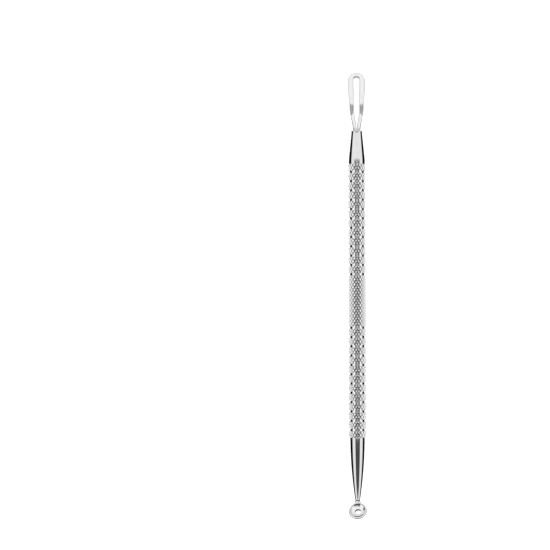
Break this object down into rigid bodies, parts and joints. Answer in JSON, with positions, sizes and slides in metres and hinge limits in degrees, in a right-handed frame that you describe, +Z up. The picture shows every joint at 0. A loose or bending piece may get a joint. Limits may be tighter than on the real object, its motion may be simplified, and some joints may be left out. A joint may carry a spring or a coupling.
{
  "type": "blackhead extractor",
  "caption": "Slim double-ended steel hand tool with a ring-grooved knurled grip, a flat wire loop at one end and a small holed cup at the other.",
  "frame": {"origin": "on the table under the grip's axis, midway between the tip of the loop and the far rim of the cup, with the tool lying on its grip and the loop's tip", "axes": "+Y along the grip towards the wire loop, +X across the tool, +Z up, out of the cup's open side"},
  "size_m": [0.0048, 0.1202, 0.0054],
  "materials": {
    "grip_steel": "bright knurled stainless steel, with polished ring grooves",
    "polished_steel": "mirror polished stainless steel",
    "wire_steel": "polished drawn stainless wire, flattened at the loop",
    "solder": "dull silver solder"
  },
  "bodies": {
    "root": {"knurled_grip": "grip_steel", "loop_ferrule": "polished_steel", "cup_ferrule": "polished_steel", "wire_loop": "wire_steel", "loop_solder": "solder", "extractor_cup": "polished_steel", "cup_solder": "solder"}
  },
  "joints": []
}
